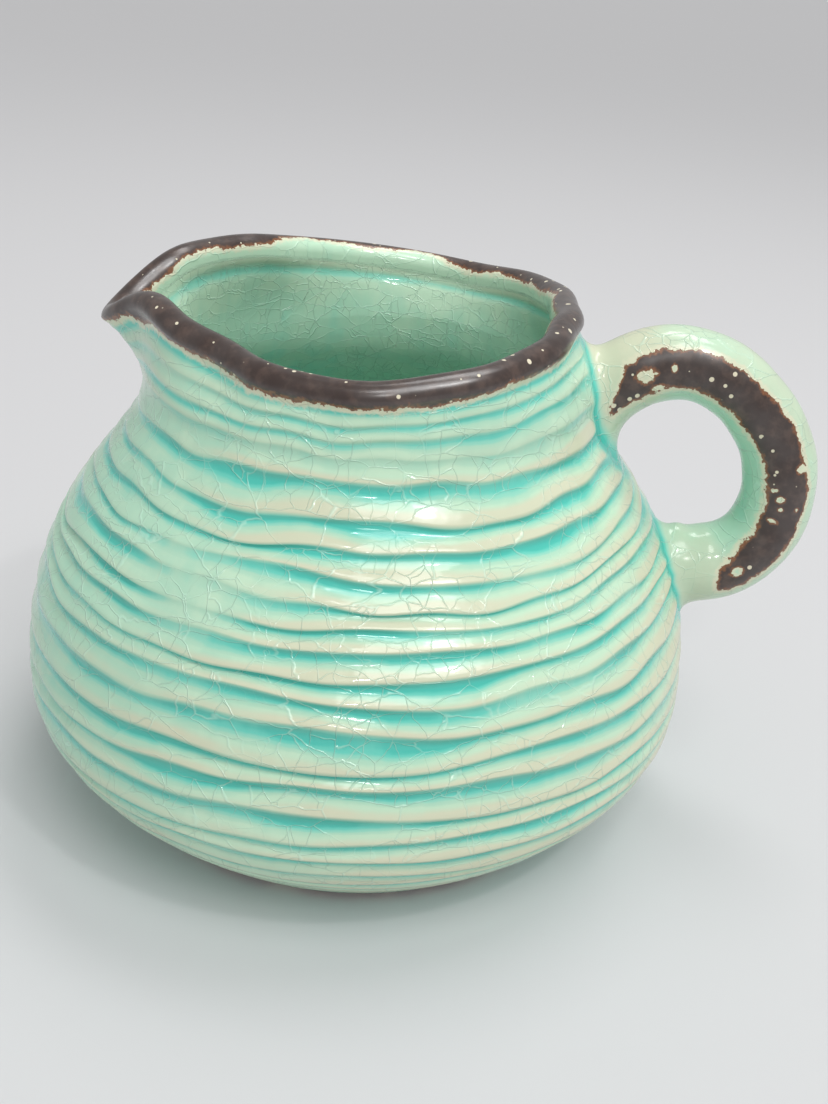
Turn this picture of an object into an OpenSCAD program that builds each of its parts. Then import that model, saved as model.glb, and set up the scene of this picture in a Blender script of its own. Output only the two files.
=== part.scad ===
// Squat ribbed ceramic pitcher with a pulled spout and a ring handle.
// The base slab is centred on the Z axis and its underside is at z = 0.
// The handle points along +X and the spout along -X.

/* [Foot] */
// Radius of the flat face that the pitcher stands on
foot_r = 54; // [46:1:65]
// Thickness of the base slab
floor_t = 5; // [4:0.5:8]
// Angle at which the wall leaves the table
foot_lean = 46; // [38:1:58]

/* [Belly] */
// Radius of the belly at its widest, over the rib crests
belly_r = 75; // [62:1:92]
// Height of the widest part of the belly
belly_z = 30; // [25:1:36]
// Radius of the throat, where the belly ends and the collar begins
throat_r = 48; // [40:1:58]
// Height of the throat
throat_z = 97; // [80:1:118]
// Thickness of the wall, measured square to its surface
wall_t = 5.5; // [4:0.5:7]

/* [Ribs] */
// Number of ribs between the base slab and the throat
rib_n = 16; // [10:1:20]
// Depth of the grooves between the ribs
rib_depth = 1.4; // [0:0.1:2]

/* [Lip] */
// Mean height of the lip above the throat
collar_h = 17; // [13:0.5:22]
// Mean outer radius of the lip
lip_r = 47.8; // [42:0.1:58]
// Thickness of the lip
lip_w = 6.2; // [5:0.1:8]
// Height of the rounded lip band
band_h = 5; // [4:0.5:8]
// How far the lip's outline is moved away from the handle
lip_shift = 1.6; // [0:0.1:4]
// How much narrower the lip is from spout to handle than across
lip_oval = 2; // [0:0.1:4]
// How much the lip tapers towards the handle, like an egg
lip_egg = 1.4; // [0:0.1:3]
// Rise and fall of the wavy lip
lip_wave = 2.3; // [0:0.1:4]

/* [Spout] */
// How far the spout's tip stands out from the lip
spout_reach = 8.8; // [6:0.2:12]
// How far the spout's tip dips below the lip
spout_dip = 9; // [4:0.5:11]
// Half the angle that the spout takes up around the lip
spout_spread = 11; // [9:0.5:16]
// Depth of the pinch on each side of the spout
spout_pinch = 2.8; // [0:0.1:4]

/* [Handle] */
// Angle that the handle is turned off the line of the spout
handle_turn = -5; // [-10:1:10]
// Radius of the handle's section
grip_r = 8; // [6:0.1:9]
// Radius of the handle's upper bend, to the middle of its section
upper_bend_r = 15; // [12:0.5:18]
// Radius of the handle's long outer bend, to the middle of its section
outer_bend_r = 30.5; // [26:0.5:37]
// Radius of the handle's lower bend, to the middle of its section
lower_bend_r = 15.5; // [13:0.5:19]
// How far the lower bend's centre lies below the throat
handle_drop = 23; // [19:0.5:27]
// Shortest gap that the upper joint fills, between the handle and the throat
upper_gap = 5.5; // [4:0.5:9]
// Shortest gap between the upper end of the handle and the collar or lip beside it
collar_gap = 4; // [3:0.5:7]
// Shortest gap that the lower joint fills, between the handle and the belly
lower_gap = 8; // [6:0.5:10]
// Half the height of the flare where the handle meets the wall
flare_h = 12; // [10:0.5:13]
// Half the width of the flare where the handle meets the wall
flare_w = 10.5; // [9.5:0.5:13]

/* [Hidden] */

// Colours of the glazes and of the clay under the foot
GLAZE = [0.45, 0.78, 0.70];
LIP_GLAZE = [0.23, 0.15, 0.13];
FOOT_CLAY = [0.55, 0.45, 0.36];

// Facets of the faceted pieces around the axis, and sections up the collar
turn_steps = 72;
collar_steps = 9;
inside_steps = 3;
turn_step = 360 / turn_steps;

// The spout is a sector of the collar, cut at whole facets
spout_steps = 12;
spout_half = spout_steps / 2 * turn_step;

// Where the pinches are, on each side of the spout's middle, and their spread
pinch_at = 48;
pinch_spread = 17;

// How far the foot curve and the shoulder curve run along their end directions
foot_pull = 12;
belly_pull_down = 11.5;
belly_pull_up = 0.62 * (throat_z - belly_z);
throat_pull = 0.24 * (throat_z - belly_z);

// Angles at which the handle's bends end, counted from outwards to up
upper_end = 118;
lower_end = -80;

// How far the lip band's foot is tucked in under the lip, and more at the spout
band_tuck = 0.8;
spout_tuck = 1.4;

// Gap that keeps the flared joints clear of the rib crests
seat_gap = 0.05;

// ---- Outline of the wall ----

// Point at t on the cubic Bezier curve with control points p
function bezier(p, t) =
    pow(1 - t, 3) * p[0] + 3 * pow(1 - t, 2) * t * p[1]
    + 3 * (1 - t) * t * t * p[2] + pow(t, 3) * p[3];

foot_curve = [
    [foot_r, 0],
    [foot_r + foot_pull * cos(foot_lean), foot_pull * sin(foot_lean)],
    [belly_r, belly_z - belly_pull_down],
    [belly_r, belly_z]
];
shoulder_curve = [
    [belly_r, belly_z],
    [belly_r, belly_z + belly_pull_up],
    [throat_r, throat_z - throat_pull],
    [throat_r, throat_z]
];
curve_steps = 16;
outline = concat(
    [for (i = [0:curve_steps - 1]) bezier(foot_curve, i / curve_steps)],
    [for (i = [0:curve_steps]) bezier(shoulder_curve, i / curve_steps)]
);
radius_at_height = [for (p = outline) [p[1], p[0]]];

// Radius over the rib crests at height z
function crest_r(z) = lookup(z, radius_at_height);

// Depth of the rib grooves below the crests at height z
rib_pitch = (throat_z - floor_t) / rib_n;
function groove(z) = rib_depth * (1 - cos(360 * (z - floor_t) / rib_pitch)) / 2;

// Horizontal thickness of the wall at height z, where the wall leans
function wall_across(z) =
    let (lean = (crest_r(min(z + 1, throat_z)) - crest_r(max(z - 1, 0))) / 2)
    wall_t * sqrt(1 + lean * lean);

function inner_r(z) = crest_r(z) - wall_across(z);

// ---- Outline of the lip ----

// Bell-shaped bump, 1 at the spout's middle plus the angle off
function bump(a, off, spread) =
    let (d = ((a - off + 360) % 360 - 180) / spread)
    exp(-d * d);

// Outer radius of the lip at angle a
function lip_at(a) =
    lip_r - lip_shift * (cos(a) - sin(a) / 2)
    - lip_oval * (cos(2 * a) - sin(2 * a) / 2) - lip_egg * cos(3 * a)
    + spout_reach * bump(a, 0, spout_spread)
    - spout_pinch * (bump(a, -pinch_at, pinch_spread) + bump(a, pinch_at, pinch_spread));

// Height of the lip's top at angle a
function lip_top(a) =
    throat_z + collar_h
    + lip_wave * (cos(2 * a) - 0.75 * sin(2 * a) - 0.4 * cos(a) + 0.7 * sin(a))
    - spout_dip * bump(a, 0, spout_spread);

// Height and outer radius of the lip band's foot at angle a
function band_foot(a) = lip_top(a) - band_h;
function foot_at(a) = lip_at(a) - band_tuck - spout_tuck * bump(a, 0, spout_spread);

// Share of the way from the throat to the lip, and the flare at that share
function rise(a, z) = (z - throat_z) / (band_foot(a) - throat_z);
function flare(u) = pow(u, 1.4);

// Outer radius of the belly and collar over the rib crests, at angle a and height z
function shell_r(a, z) =
    z <= throat_z ? crest_r(z) : throat_r + (foot_at(a) - throat_r) * flare(rise(a, z));

// ---- Solids swept around the axis ----

// Point at angle a, from [radius, height]
function turned(p, a) = [p[0] * cos(a), p[0] * sin(a), p[1]];

// Two triangles on the cell between section i and the next, and points j and the next
function cell(i, j, n, m, slant) =
    let (
        p = (i % n) * m + j % m,
        q = ((i + 1) % n) * m + j % m,
        r = ((i + 1) % n) * m + (j + 1) % m,
        s = (i % n) * m + (j + 1) % m
    )
    slant ? [[p, q, s], [q, r, s]] : [[p, q, r], [p, r, s]];

// Solid through sections of equal length, closed into a ring or capped at both ends
module swept(sections, ring, slant) {
    n = len(sections);
    m = len(sections[0]);
    sides = [
        for (i = [0:(ring ? n - 1 : n - 2)], j = [0:m - 1], t = cell(i, j, n, m, slant)) t
    ];
    caps = ring ? [] : [
        [for (j = [0:m - 1]) j],
        [for (j = [m - 1:-1:0]) (n - 1) * m + j]
    ];
    polyhedron([for (s = sections) each s], concat(sides, caps), convexity = 8);
}

// Section of the collar's wall at angle a, up the inside and down the outside
function collar_section(a) = [
    for (j = [0:inside_steps])
        let (u = j / inside_steps, base = inner_r(throat_z))
        turned([
            base + (lip_at(a) - lip_w - base) * flare(u),
            throat_z + (band_foot(a) - throat_z) * u
        ], a),
    for (j = [collar_steps:-1:0])
        let (u = j / collar_steps, z = throat_z + (band_foot(a) - throat_z) * u)
        turned([shell_r(a, z) - groove(z) * (1 - u), z], a)
];

// Section of the lip band at angle a, with a half-round top
function band_section(a) = [
    turned([lip_at(a) - lip_w, band_foot(a)], a),
    for (k = [180:-30:0])
        turned([
            lip_at(a) - lip_w / 2 * (1 - cos(k)),
            lip_top(a) - lip_w / 2 * (1 - sin(k))
        ], a),
    turned([foot_at(a), band_foot(a)], a)
];

// ---- Handle ----

// Each bend of the handle, as [centre outwards, centre up, radius]. The middles of the
// upper and outer bends share a height of turn, and so do the outer and lower bends.
lower_bend_z = throat_z - handle_drop;
lower_end_z = lower_bend_z + lower_bend_r * sin(lower_end);
bend_shift = outer_bend_r - lower_bend_r;
upper_bend_z = lower_bend_z + outer_bend_r - upper_bend_r;
clear_of_collar = max([
    for (k = [-1:0.25:1])
        let (
            across = upper_bend_r + grip_r * k,
            z = upper_bend_z + across * sin(upper_end),
            wall = z < band_foot(handle_turn) ? shell_r(handle_turn, z) : lip_at(handle_turn)
        )
        wall + collar_gap + bend_shift - across * cos(upper_end)
]);
lower_bend_x = max(
    crest_r(lower_end_z) + lower_gap - lower_bend_r * cos(lower_end),
    throat_r + upper_gap + bend_shift - upper_bend_r * cos(upper_end),
    clear_of_collar
);
LOWER_BEND = [lower_bend_x, lower_bend_z, lower_bend_r];
OUTER_BEND = [lower_bend_x - bend_shift, lower_bend_z, outer_bend_r];
UPPER_BEND = [OUTER_BEND[0], upper_bend_z, upper_bend_r];

// Point on a bend's surface: b along its arc and c around its section
function grip_point(bend, b, c) = [
    bend[0] + (bend[2] + grip_r * cos(c)) * cos(b),
    grip_r * sin(c),
    bend[1] + (bend[2] + grip_r * cos(c)) * sin(b)
];

// Round bar along a bend's arc, from angle start and through the angle sweep
module bar(bend, start, sweep) {
    translate([bend[0], 0, bend[1]])
        rotate([90, 0, 0])
            rotate([0, 0, start])
                mirror([0, sweep < 0 ? 1 : 0, 0])
                    rotate_extrude(angle = abs(sweep), $fn = 96)
                        translate([bend[2], 0])
                            circle(r = grip_r, $fn = 32);
}

// Facets around a flared joint, sections along it, and rings in its seat on the wall
joint_steps = 32;
flare_steps = 5;
seat_rings = 4;

// Point on the wall: dy across and z up, seen along the handle
function seat_point(dy, z) =
    let (
        first = asin(dy / shell_r(handle_turn, z)),
        r = shell_r(handle_turn + first, z) + seat_gap,
        a = asin(dy / r)
    )
    [r * cos(a), dy, z];

// Flared joint from a bend's end at angle b to the wall around height seat_z. The side s
// is 1 on the upper bend and -1 on the lower one.
module flared_joint(bend, b, s, gap, seat_z) {
    aim = s * [-sin(b), 0, cos(b)];
    side = [for (k = [0:joint_steps - 1]) 360 * k / joint_steps];
    function seat(c, share) = seat_point(
        flare_w * share * sin(c), seat_z + s * flare_h * share * cos(c)
    );
    function flared(c, t) =
        let (
            start = grip_point(bend, b, c),
            ahead = start + aim * gap / 3,
            landing = seat(c, 0.6) * 0.7 + ahead * 0.3
        )
        bezier([start, ahead, landing, seat(c, 1)], t);
    rings = concat(
        [for (i = [0:flare_steps]) [for (c = side) flared(c, i / flare_steps)]],
        [for (i = [seat_rings - 1:-1:1]) [for (c = side) seat(c, i / seat_rings)]]
    );
    n = len(rings);
    m = joint_steps;
    sides = [for (i = [0:n - 2], j = [0:m - 1], t = cell(i, j, n, m, false)) t];
    cap = [[for (j = [0:m - 1]) j]];
    tip = [for (j = [0:m - 1]) [(n - 1) * m + (j + 1) % m, (n - 1) * m + j, n * m]];
    faces = concat(sides, cap, tip);
    polyhedron(
        concat([for (r = rings) each r], [seat(0, 0)]),
        s > 0 ? faces : [for (f = faces) [for (k = [len(f) - 1:-1:0]) f[k]]],
        convexity = 4
    );
}

// ---- Sub-parts ----

// Flat slab that the wall stands on, with its edge curved up into the wall
module base_slab() {
    color(FOOT_CLAY)
        rotate_extrude($fn = 180)
            polygon(concat(
                [[0, 0]],
                [for (z = [0:floor_t / 4:floor_t]) [crest_r(z), z]],
                [[0, floor_t]]
            ));
}

// Ribbed wall from the base slab to the throat
module belly_wall() {
    outside = [
        for (i = [0:6 * rib_n])
            let (z = floor_t + rib_pitch * i / 6)
            [crest_r(z) - groove(z), z]
    ];
    inside = [
        for (i = [rib_n:-1:0])
            let (z = floor_t + rib_pitch * i)
            [inner_r(z), z]
    ];
    color(GLAZE)
        rotate_extrude($fn = 180)
            polygon(concat(outside, inside));
}

// Wall between the throat and the lip, open where the spout is let in
module collar() {
    color(GLAZE)
        swept([
            for (i = [0:turn_steps - spout_steps])
                collar_section(180 + spout_half + turn_step * i)
        ], false, false);
}

// Wall of the pulled spout
module spout() {
    color(GLAZE)
        swept([
            for (a = [180 - spout_half:turn_step:180 + spout_half])
                collar_section(a)
        ], false, false);
}

// Rounded lip that runs around the collar and over the spout
module lip_band() {
    color(LIP_GLAZE)
        swept([
            for (i = [0:turn_steps - 1])
                band_section(turn_step * i)
        ], true, true);
}

// Round handle of three bends, most of the way around a ring
module handle() {
    color(GLAZE)
        rotate([0, 0, handle_turn]) {
            bar(LOWER_BEND, 0, lower_end);
            bar(OUTER_BEND, 0, 90);
            bar(UPPER_BEND, 90, upper_end - 90);
        }
}

// Flare of slip and clay between the handle and the throat
module upper_handle_joint() {
    color(GLAZE)
        rotate([0, 0, handle_turn])
            flared_joint(UPPER_BEND, upper_end, 1, upper_gap, throat_z - 1);
}

// Flare of slip and clay between the handle and the belly
module lower_handle_joint() {
    color(GLAZE)
        rotate([0, 0, handle_turn])
            flared_joint(LOWER_BEND, lower_end, -1, lower_gap, lower_end_z - 2);
}

base_slab();
belly_wall();
collar();
spout();
lip_band();
handle();
upper_handle_joint();
lower_handle_joint();
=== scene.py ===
import math

import bpy
import numpy as np
from mathutils import Matrix, Vector


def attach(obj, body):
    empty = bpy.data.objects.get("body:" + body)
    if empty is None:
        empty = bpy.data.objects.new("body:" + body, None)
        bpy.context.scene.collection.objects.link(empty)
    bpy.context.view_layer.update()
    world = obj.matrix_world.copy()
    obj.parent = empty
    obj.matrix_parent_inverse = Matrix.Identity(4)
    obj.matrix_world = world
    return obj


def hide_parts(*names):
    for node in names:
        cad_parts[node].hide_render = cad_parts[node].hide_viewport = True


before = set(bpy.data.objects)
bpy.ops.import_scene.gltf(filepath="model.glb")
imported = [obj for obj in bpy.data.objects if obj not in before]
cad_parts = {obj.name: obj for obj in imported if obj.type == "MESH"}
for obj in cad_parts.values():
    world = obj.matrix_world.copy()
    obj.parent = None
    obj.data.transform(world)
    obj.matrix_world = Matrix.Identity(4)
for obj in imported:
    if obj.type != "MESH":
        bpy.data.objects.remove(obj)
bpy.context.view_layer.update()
rng = np.random.default_rng(7)

MM = 0.001

# ---- Sizes of the pitcher, in millimetres ----

FOOT_R = 54.0
FLOOR_T = 5.0
BELLY_R = 75.0
BELLY_Z = 30.0
THROAT_R = 48.0
THROAT_Z = 97.0
WALL_T = 5.5
COLLAR_H = 17.0
LIP_R = 47.8
LIP_W = 6.2
BAND_H = 5.0
FOOT_EDGE = 1.7
HANDLE_TURN = math.radians(-5)

COLUMNS = 504
SPOUT_FROM = COLUMNS * 5 // 12
SPOUT_TO = COLUMNS * 7 // 12

ANGLE = 2 * math.pi * np.arange(COLUMNS) / COLUMNS


# ---- Small helpers ----

def smooth(low, high, x):
    """0 below low, 1 above high, and a smooth rise between."""
    t = np.clip((x - low) / (high - low), 0, 1)
    return t * t * (3 - 2 * t)


def bump(angle, middle_deg, spread_deg):
    """Bell shape around an angle of the wall."""
    off = (np.degrees(angle) - middle_deg + 180) % 360 - 180
    return np.exp(-(off / spread_deg) ** 2)


def bezier(controls, t):
    """Points along a curve that starts at the first control, leaves for the second and so on."""
    a, b, c, d = controls
    return (1 - t) ** 3 * a + 3 * (1 - t) ** 2 * t * b + 3 * (1 - t) * t * t * c + t ** 3 * d


def waver(angle, lowest, highest, size):
    """A gentle wander around the wall, different each time it is called."""
    total = np.zeros_like(angle)
    for k in range(lowest, highest + 1):
        total += rng.normal() * np.cos(k * angle + rng.uniform(0, 2 * math.pi)) / k ** 0.5
    return size * total / np.std(total)


# ---- Outline of the body ----

lean = math.radians(46)
foot_curve = bezier(
    np.array([
        [FOOT_R, 0],
        [FOOT_R + 12 * math.cos(lean), 12 * math.sin(lean)],
        [BELLY_R, 18.5],
        [BELLY_R, BELLY_Z],
    ]),
    np.linspace(0, 1, 80)[:, None],
)
rise = THROAT_Z - BELLY_Z
shoulder_curve = bezier(
    np.array([
        [BELLY_R, BELLY_Z],
        [BELLY_R, BELLY_Z + 0.62 * rise],
        [THROAT_R, THROAT_Z - 0.24 * rise],
        [THROAT_R, THROAT_Z],
    ]),
    np.linspace(0, 1, 160)[:, None],
)
outline = np.concatenate([foot_curve, shoulder_curve[1:]])


def crest_r(z):
    """Radius over the rib crests, from the table up to the throat."""
    return np.interp(z, outline[:, 1], outline[:, 0])


def inner_r(z):
    """Radius of the inner side of the wall, which is the same thickness all the way up."""
    slope = (crest_r(np.minimum(z + 1, THROAT_Z)) - crest_r(np.maximum(z - 1, 0))) / 2
    return crest_r(z) - WALL_T * np.sqrt(1 + slope ** 2)


# ---- Outline of the lip and spout ----

spout = bump(ANGLE, 180, 11)
lip_r = (
    LIP_R
    - 1.6 * (np.cos(ANGLE) - np.sin(ANGLE) / 2)
    - 2.0 * (np.cos(2 * ANGLE) - np.sin(2 * ANGLE) / 2)
    - 1.4 * np.cos(3 * ANGLE)
    + 8.8 * spout
    - 2.8 * (bump(ANGLE, 132, 17) + bump(ANGLE, 228, 17))
)
lip_top = (
    THROAT_Z
    + COLLAR_H
    + 2.3 * (np.cos(2 * ANGLE) - 0.75 * np.sin(2 * ANGLE) - 0.4 * np.cos(ANGLE) + 0.7 * np.sin(ANGLE))
    - 9.0 * spout
)
lip_r = lip_r + waver(ANGLE, 5, 14, 0.16)
lip_top = lip_top + waver(ANGLE, 4, 12, 0.18)
band_foot = lip_top - BAND_H
foot_at = lip_r - 0.8 - 1.4 * spout

# Where the collar starts to flare: lower down under the spout
pour = bump(ANGLE, 180, 22)
flare_from = THROAT_Z - 9.0 * pour


def shell_r(z):
    """Radius over the crests at height z, for one height at each angle of the wall."""
    share = np.clip((z - flare_from) / (band_foot - flare_from), 0, 1)
    return crest_r(np.minimum(z, THROAT_Z)) + (foot_at - THROAT_R) * share ** (1.4 + 0.8 * pour)


# ---- Where the handle's two roots land on the wall ----

ROOTS = [
    {"z": 95.3, "half_height": 14.3, "half_width": 10.5, "knuckle": 0.0},
    {"z": 57.6, "half_height": 12.0, "half_width": 10.5, "knuckle": 1.1},
]


def past_root(root, z):
    """Distance outside a root's rim along the wall, negative inside the rim."""
    across = shell_r(z) * np.sin(ANGLE - HANDLE_TURN)
    facing = np.cos(ANGLE - HANDLE_TURN) > 0
    share = np.hypot(across / root["half_width"], (z - root["z"]) / root["half_height"])
    return np.where(facing, (share - 1) * 11.0, 99.0)


# ---- Ribs ----

COARSE_WANDER = 0.54
FINE_WANDER = 0.20
RIB_GAP = 1.5
RIB_DEPTH = 0.92

# Lower edge of each rib: mean height, rise towards the handle, bow from side to side
RIB_EDGES = [
    (4.6, 0.2, 0.0),
    (8.6, 0.4, -0.2),
    (12.4, 0.6, 0.3),
    (16.6, 0.8, -0.3),
    (20.4, 1.0, -0.4),
    (25.2, 1.4, -0.8),
    (29.4, 2.0, -1.0),
    (34.6, 1.6, -1.4),
    (40.6, 1.7, -1.0),
    (45.6, 1.6, -0.7),
    (52.4, 0.8, -0.2),
    (58.0, 1.0, 0.0),
    (62.0, 0.8, 0.2),
    (66.1, 0.2, 0.4),
    (69.4, 1.0, 0.2),
    (73.2, 0.5, 0.5),
    (76.8, 0.2, 0.4),
    (81.0, -0.2, 0.6),
    (85.4, -0.2, 0.6),
    (91.4, 0.8, 0.4),
    (96.8, 1.0, 0.3),
]

edges = []
for height, tilt, bow in RIB_EDGES:
    calm = 0.35 if height < 6 else 1.0
    line = height + tilt * np.cos(ANGLE) + bow * np.cos(2 * ANGLE)
    line = line + calm * (waver(ANGLE, 2, 7, COARSE_WANDER) + waver(ANGLE, 8, 22, FINE_WANDER))
    edges.append(line)
THROAT_EDGE = len(edges) - 1
for share, tilt in [(0.36, 0.10), (0.67, 0.07)]:
    top = band_foot + 0.6
    line = edges[THROAT_EDGE] + (share + tilt * np.cos(ANGLE)) * (top - edges[THROAT_EDGE])
    edges.append(line + waver(ANGLE, 3, 16, 0.16))
for k in range(1, len(edges)):
    edges[k] = np.maximum(edges[k], edges[k - 1] + RIB_GAP)
edges = np.array(edges)
RIBS = len(edges) - 1

# Patches where the ribs were smoothed over: angle, height, half width, half height, how much
SMOOTHED = [
    (241, 71, 13, 9, 0.90),
    (222, 84, 12, 6, 0.35),
    (246, 50, 14, 4, 0.40),
    (300, 74, 15, 4, 0.45),
    (284, 96, 30, 5, 0.30),
    (20, 78, 18, 7, 0.50),
    (75, 62, 22, 9, 0.60),
    (120, 84, 18, 6, 0.55),
    (150, 40, 20, 7, 0.55),
    (330, 30, 22, 6, 0.40),
]


def rib_depth(k):
    """Depth of the groove under edge k, around the wall."""
    depth = RIB_DEPTH + waver(ANGLE, 1, 5, 0.15) + waver(ANGLE, 6, 22, 0.10)
    if k >= THROAT_EDGE:
        depth = depth * 0.42
    elif k >= THROAT_EDGE - 2:
        depth = depth * 0.9
    elif k <= 4:
        depth = depth * 0.8
    for angle, height, wide, high, much in SMOOTHED:
        near = bump(ANGLE, angle, wide) * np.exp(-((edges[k] - height) / high) ** 2)
        depth = depth * (1 - much * near)
    if k >= THROAT_EDGE - 1:
        depth = depth * (1 - 0.75 * pour)
    return np.clip(depth, 0.08, 1.3)


depths = np.array([rib_depth(k) for k in range(RIBS + 1)])

# Steps up one rib, from its own lower edge to the edge above it
RIB_STEPS = [0.0, 0.09, 0.22, 0.37, 0.52, 0.67, 0.80, 0.90]


# ---- Rows of the whole body, from under the foot round to the floor inside ----

NO_BROWN = -9.0

# What the glaze reads at each point, and its value where a row doesn't say:
# pooled glaze, thin glaze on a crest, distance inside the brown edge in mm, bare clay,
# painted shade under a rib, and 1 on the inner side of the wall
GLAZE_VALUES = {"pool": 0.0, "crest": 0.0, "worn": NO_BROWN, "bare": 0.0, "shade": 0.0, "inside": 0.0}
rows = {name: [] for name in ["r", "z", *GLAZE_VALUES]}
marks = {}


def add_row(r, z, **values):
    """One ring of points around the body, with its radius, height and glaze values."""
    for name, value in {**GLAZE_VALUES, **values, "r": r, "z": z}.items():
        rows[name].append(np.broadcast_to(np.asarray(value, float), (COLUMNS,)).copy())


def mark(name):
    """Remember the row that a part of the body starts with."""
    marks[name] = len(rows["r"])


def root_pool(z):
    """Glaze that ran together in the crease around the handle's roots."""
    total = np.zeros(COLUMNS)
    for root in ROOTS:
        total += np.exp(-(np.maximum(past_root(root, z), 0) / 2.4) ** 2)
    return np.clip(total, 0, 1)


def root_calm(z):
    """0 beside the handle's roots and 1 away from them, where the ribs keep their depth."""
    nearest = np.minimum(past_root(ROOTS[0], z), past_root(ROOTS[1], z))
    return smooth(0.0, 8.0, nearest)


# Underside: bare clay, very slightly hollow, with a narrow ring that touches the table
mark("under")
for r in [0, 6, 14, 24, 34]:
    add_row(r, 0.5, bare=1.0)
for r, z in [(42, 0.45), (46, 0.3), (48.5, 0.05), (50, 0.0), (52.4, 0.0)]:
    add_row(r, z, bare=1.0)
foot_flecks = waver(ANGLE, 8, 60, 0.25)
for z, worn, bare in [(0.12, -0.4, 1.0), (0.5, 0.45, 0.0), (1.1, 0.35, 0.0), (FOOT_EDGE, -0.5, 0.0)]:
    r = crest_r(z) - 0.7 * (1 - z / FOOT_EDGE) ** 2
    add_row(r, z, pool=0.5, worn=worn + foot_flecks, bare=bare)
for share in [0.3, 0.6, 0.85]:
    z = FOOT_EDGE + (edges[0] - FOOT_EDGE) * share
    add_row(crest_r(z), z, pool=0.35 + 0.3 * share)

# Brown edge over the lip: where it starts outside and ends inside, in mm along the lip
turn_deg = np.degrees(ANGLE)
inner_tear = smooth(54, 76, turn_deg) * (1 - smooth(116, 130, turn_deg))
brown_from = (
    1.1
    + waver(ANGLE, 3, 20, 0.35)
    - 0.9 * bump(ANGLE, 270, 45)
    - 2.6 * bump(ANGLE, 196, 6)
    + 0.6 * bump(ANGLE, 182, 5)
)
brown_to = 10.2 + waver(ANGLE, 3, 20, 0.45) - 2.3 * inner_tear

# Left flank, where the glaze is drawn deeper teal with less cream: painted shade on the side turned away
# from the light
shaded_flank = bump(ANGLE, 204, 42)

# Ribs up to the lip
for k in range(RIBS + 1):
    if k == 0:
        mark("belly")
    if k == THROAT_EDGE:
        mark("collar")
    low = edges[k]
    high = edges[k + 1] if k < RIBS else band_foot
    depth_above = depths[k + 1] if k < RIBS else 0.25
    neck = k >= THROAT_EDGE
    # The left flank's deeper teal and thinner cream here and below are painted shade
    wet = np.clip(depth_above / 0.9, 0, 1.15) * (1 + 0.25 * shaded_flank)
    thin = np.clip(depths[k] / 0.8, 0, 1.15) * (1 - 0.72 * shaded_flank)
    drift = waver(ANGLE, 2, 14, 0.06)
    fade = 1 - 0.85 * bump(ANGLE, 212, 26) if k == THROAT_EDGE + 1 else 1.0
    for s in RIB_STEPS:
        z = low + s * (high - low)
        hollow = smooth(0.02, 0.68, s) * (1 - smooth(0.70, 1.0, s))
        step_below = depths[k] * 0.12 * math.exp(-((s - 0.16) / 0.13) ** 2)
        cut = depth_above * hollow * (0.35 + 0.65 * root_calm(z))
        if neck:
            pool = 0.10 + 0.66 * fade * np.exp(-((s + drift - 0.72) / 0.24) ** 2)
            crest = 0.38 * (1 - smooth(0.15, 0.60, s))
            shade = 0.0
        else:
            pool = np.maximum(wet * smooth(0.36, 0.78, s + drift), 0.24 * shaded_flank)
            pool = np.maximum(pool, 0.45 * thin * (1 - smooth(0.0, 0.05, s)))
            crest = thin * (0.35 + 0.65 * smooth(0.0, 0.06, s)) * (1 - smooth(0.14, 0.50, s + drift))
            # Painted shade along the rib edges: under the edge of the rib above, and at this rib's own
            # lower edge
            shade = wet * 0.5 * smooth(0.78, 0.92, s) + thin * (1 - smooth(0.0, 0.08, s))
        melt = root_pool(z)
        pool = np.maximum(pool, melt)
        crest = crest * (1 - melt)
        shade = shade * (1 - melt) * root_calm(z)
        worn = np.maximum(z - band_foot - brown_from, NO_BROWN)
        add_row(shell_r(z) - cut + step_below, z, pool=pool, crest=crest, shade=shade, worn=worn)

# Lip: up its straight side, over the roll and a little way down inside
mark("lip")
half = LIP_W / 2
straight = BAND_H - half
tuck = lip_r - foot_at
over_roll = half * math.pi


def inside_brown(along):
    """How far inside the brown edge a place is, from its distance along the lip's outline."""
    return np.minimum(along - brown_from, brown_to - along)


for s in [0.0, 0.35, 0.7]:
    add_row(foot_at + tuck * smooth(0, 1, s), band_foot + straight * s, worn=inside_brown(straight * s))
for turn in np.linspace(0, math.pi, 17):
    r = lip_r - half * (1 - math.cos(turn))
    z = lip_top - half * (1 - math.sin(turn))
    add_row(r, z, worn=inside_brown(straight + half * turn))
add_row(lip_r - LIP_W, lip_top - half - straight * 0.5, worn=inside_brown(straight * 1.5 + over_roll))

# Inside of the collar
mark("collar_in")
inner_lip = lip_r - LIP_W
inner_throat = inner_r(THROAT_Z)
for s in np.linspace(0, 1, 20)[:-1]:
    z = band_foot + (edges[THROAT_EDGE] - band_foot) * s
    r = inner_throat + (inner_lip - inner_throat) * (1 - s) ** 1.4
    groove = 0.40 * math.exp(-((s - 0.15) / 0.09) ** 2)
    pool = 0.02 + 0.20 * smooth(0.1, 0.9, s) + 0.55 * math.exp(-((s - 0.17) / 0.08) ** 2)
    rim = 0.50 * (1 - smooth(0.04, 0.16, s))
    worn = inside_brown(straight * 2 + over_roll + (band_foot - z))
    add_row(r + groove, z, pool=pool, crest=rim, worn=worn, inside=1.0)

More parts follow.
